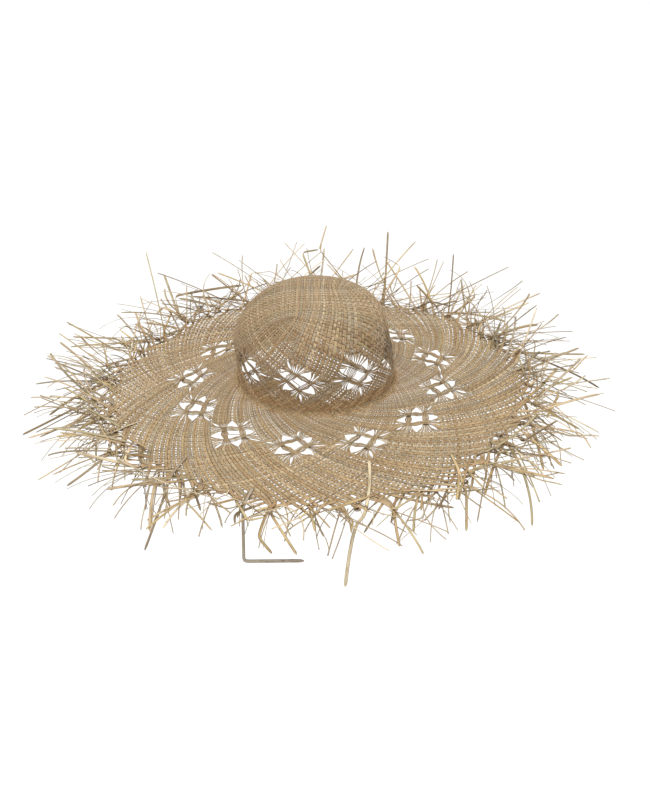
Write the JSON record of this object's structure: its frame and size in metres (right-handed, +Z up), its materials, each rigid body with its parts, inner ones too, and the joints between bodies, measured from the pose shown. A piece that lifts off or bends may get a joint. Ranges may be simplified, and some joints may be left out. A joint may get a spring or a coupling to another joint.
{
  "type": "straw sun hat",
  "caption": "Wide woven straw sun hat with a domed crown, diamond openwork around crown and brim, and a long loose straw fringe.",
  "frame": {"origin": "centre of the round head opening, level with the sweatband's lower edge", "axes": "+Z up out of the crown's tip, -Y towards the front of the hat, +X to the wearer's left when the front faces the viewer on -Y"},
  "size_m": [0.7219, 0.6874, 0.2476],
  "materials": {
    "crown_straw": "matte",
    "brim_straw": "matte",
    "tie_straw": "matte",
    "fringe_straw": "matte",
    "ribbon": "matte",
    "thread": "matte"
  },
  "bodies": {
    "root": {"crown_tip": "crown_straw", "crown_wall": "crown_straw", "crown_base_band": "crown_straw", "crown_openwork_1": "crown_straw", "crown_openwork_2": "crown_straw", "crown_openwork_3": "crown_straw", "crown_openwork_4": "crown_straw", "crown_openwork_5": "crown_straw", "crown_openwork_6": "crown_straw", "crown_openwork_7": "crown_straw", "crown_openwork_8": "crown_straw", "brim_inner_weave": "brim_straw", "brim_middle_weave": "brim_straw", "brim_outer_weave": "brim_straw", "brim_openwork_1": "brim_straw", "brim_openwork_2": "brim_straw", "brim_openwork_3": "brim_straw", "brim_openwork_4": "brim_straw", "brim_openwork_5": "brim_straw", "brim_openwork_6": "brim_straw", "brim_openwork_7": "brim_straw", "brim_openwork_8": "brim_straw", "brim_openwork_9": "brim_straw", "brim_openwork_10": "brim_straw", "brim_openwork_11": "brim_straw", "brim_openwork_12": "brim_straw", "edge_ties": "tie_straw", "fringe_01": "fringe_straw", "fringe_02": "fringe_straw", "fringe_03": "fringe_straw", "fringe_04": "fringe_straw", "fringe_05": "fringe_straw", "fringe_06": "fringe_straw", "fringe_07": "fringe_straw", "fringe_08": "fringe_straw", "fringe_09": "fringe_straw", "fringe_10": "fringe_straw", "fringe_11": "fringe_straw", "fringe_12": "fringe_straw", "sweatband": "ribbon", "sweatband_stitching": "thread"}
  },
  "joints": []
}
